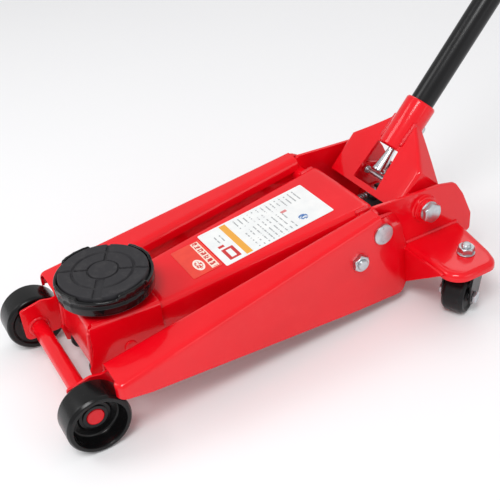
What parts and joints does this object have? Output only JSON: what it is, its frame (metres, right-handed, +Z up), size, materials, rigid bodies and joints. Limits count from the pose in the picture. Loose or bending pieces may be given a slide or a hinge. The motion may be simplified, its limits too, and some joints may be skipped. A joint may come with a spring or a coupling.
{
  "type": "hydraulic floor jack",
  "caption": "Low wheeled trolley jack: a pivoting lift arm raises a round saddle, worked by a long handle whose yoke drives a hydraulic pump and ram",
  "frame": {"origin": "on the floor, at the middle of the footprint of the jack with its handle", "axes": "+X runs from the saddle end towards the handle, +Y towards the jack's right side, +Z up"},
  "size_m": [1.1906, 0.374, 0.8927],
  "materials": {
    "red_paint": "gloss",
    "black_gloss": "gloss",
    "black_tube": "satin",
    "iron": "satin",
    "zinc": "satin",
    "steel": "brushed",
    "wheel_black": "gloss",
    "caster_tyre": "satin",
    "saddle_rubber": "matte",
    "grip_rubber": "matte",
    "label": "satin"
  },
  "bodies": {
    "frame": {"side_member_left": "red_paint", "side_member_right": "red_paint", "caster_shelf_left": "red_paint", "caster_shelf_right": "red_paint", "front_axle": "red_paint", "wheel_ring_left": "iron", "wheel_ring_right": "iron", "cross_bar": "red_paint", "rear_cross_plate": "red_paint", "arm_shaft": "zinc", "rod_anchor_bolt": "zinc", "anchor_nut_left": "zinc", "anchor_nut_right": "zinc", "yoke_bolt_left": "zinc", "yoke_bolt_right": "zinc", "hydraulic_block": "iron", "cylinder_barrel": "iron", "pump_barrel": "zinc", "filler_plug": "zinc", "return_spring_left": "steel", "return_spring_right": "steel", "pump_spring": "steel", "caster_stud_left": "zinc", "caster_stud_right": "zinc"},
    "front_wheel_left": {"front_wheel_left": "wheel_black"},
    "front_wheel_right": {"front_wheel_right": "wheel_black"},
    "lift_arm": {"lift_arm": "red_paint", "arm_crank": "iron", "crank_pin": "steel", "label_plate": "label", "nose_pin": "red_paint"},
    "saddle_bracket": {"saddle_bracket": "red_paint", "rod_front_pin": "steel"},
    "saddle": {"saddle_cup": "black_gloss", "saddle_pad": "saddle_rubber", "saddle_stud": "steel"},
    "radius_rods": {"radius_rod_left": "iron", "radius_rod_right": "iron"},
    "ram": {"ram_rod": "steel", "crosshead": "iron"},
    "handle_yoke": {"handle_yoke": "red_paint", "clamp_screw": "zinc", "roller_pin": "steel", "window_bar": "zinc"},
    "pump_roller": {"pump_roller": "steel"},
    "handle": {"handle_lower": "black_tube", "handle_upper": "black_tube", "snap_button": "zinc", "handle_grip": "grip_rubber", "release_coupler": "zinc"},
    "pump_plunger": {"pump_plunger": "steel"},
    "valve_spindle": {"valve_spindle": "zinc"},
    "caster_left": {"caster_fork_left": "black_gloss", "caster_axle_left": "zinc"},
    "caster_right": {"caster_fork_right": "black_gloss", "caster_axle_right": "zinc"},
    "caster_wheel_left": {"caster_wheel_left": "caster_tyre"},
    "caster_wheel_right": {"caster_wheel_right": "caster_tyre"}
  },
  "joints": [
    {"name": "lift", "type": "hinge", "parent": "frame", "child": "lift_arm", "pos_m": [-0.16234, 0, 0.121], "axis": [0, 1, 0], "range_deg": [0, 62]},
    {"name": "saddle_level", "type": "hinge", "parent": "lift_arm", "child": "saddle_bracket", "pos_m": [-0.48434, 0, 0.062], "axis": [0, 1, 0], "range_deg": [-62, 0]},
    {"name": "rod_swing", "type": "hinge", "parent": "frame", "child": "radius_rods", "pos_m": [-0.19934, 0, 0.096], "axis": [0, 1, 0], "range_deg": [0, 62]},
    {"name": "saddle_turn", "type": "hinge", "parent": "saddle_bracket", "child": "saddle", "pos_m": [-0.48434, 0, 0.114], "axis": [0, 0, 1], "continuous": true},
    {"name": "ram_stroke", "type": "slide", "parent": "frame", "child": "ram", "axis": [-1, 0, 0], "range_m": [0, 0.0391], "deforming": ["return_spring_left", "return_spring_right"]},
    {"name": "handle_pump", "type": "hinge", "parent": "frame", "child": "handle_yoke", "pos_m": [-0.08234, 0, 0.119], "axis": [0, 1, 0], "range_deg": [-27, 33]},
    {"name": "pump_stroke", "type": "slide", "parent": "frame", "child": "pump_plunger", "axis": [0, 0, -1], "range_m": [-0.0149, 0.0182], "deforming": ["pump_spring"]},
    {"name": "roller_spin", "type": "hinge", "parent": "handle_yoke", "child": "pump_roller", "pos_m": [-0.05034, 0, 0.121], "axis": [0, 1, 0], "continuous": true},
    {"name": "handle_twist", "type": "hinge", "parent": "handle_yoke", "child": "handle", "pos_m": [-0.09423, 0, 0.12971], "axis": [0.6691, 0, 0.7431], "range_deg": [0, 120]},
    {"name": "valve_turn", "type": "hinge", "parent": "frame", "child": "valve_spindle", "pos_m": [-0.09734, 0, 0.1], "axis": [0, 0, 1], "range_deg": [-5, 125]},
    {"name": "front_wheel_left_spin", "type": "hinge", "parent": "frame", "child": "front_wheel_left", "pos_m": [-0.55734, -0.1085, 0.038], "axis": [0, 1, 0], "continuous": true},
    {"name": "front_wheel_right_spin", "type": "hinge", "parent": "frame", "child": "front_wheel_right", "pos_m": [-0.55734, 0.1085, 0.038], "axis": [0, 1, 0], "continuous": true},
    {"name": "caster_left_swivel", "type": "hinge", "parent": "frame", "child": "caster_left", "pos_m": [-0.06534, -0.15, 0.066], "axis": [0, 0, 1], "continuous": true},
    {"name": "caster_right_swivel", "type": "hinge", "parent": "frame", "child": "caster_right", "pos_m": [-0.06534, 0.15, 0.066], "axis": [0, 0, 1], "continuous": true},
    {"name": "caster_left_roll", "type": "hinge", "parent": "caster_left", "child": "caster_wheel_left", "pos_m": [-0.07803, -0.15592, 0.025], "axis": [-0.4226, 0.9063, 0], "continuous": true},
    {"name": "caster_right_roll", "type": "hinge", "parent": "caster_right", "child": "caster_wheel_right", "pos_m": [-0.07803, 0.15592, 0.025], "axis": [0.4226, 0.9063, 0], "continuous": true}
  ],
  "couplings": [
    {"joint": "saddle_level", "follows": "lift", "ratio": -1},
    {"joint": "rod_swing", "follows": "lift", "ratio": 1},
    {"joint": "ram_stroke", "follows": "lift", "m_per_rad": 0.03604},
    {"joint": "pump_stroke", "follows": "handle_pump", "m_per_rad": 0.0314},
    {"joint": "valve_turn", "follows": "handle_twist", "ratio": 1}
  ]
}
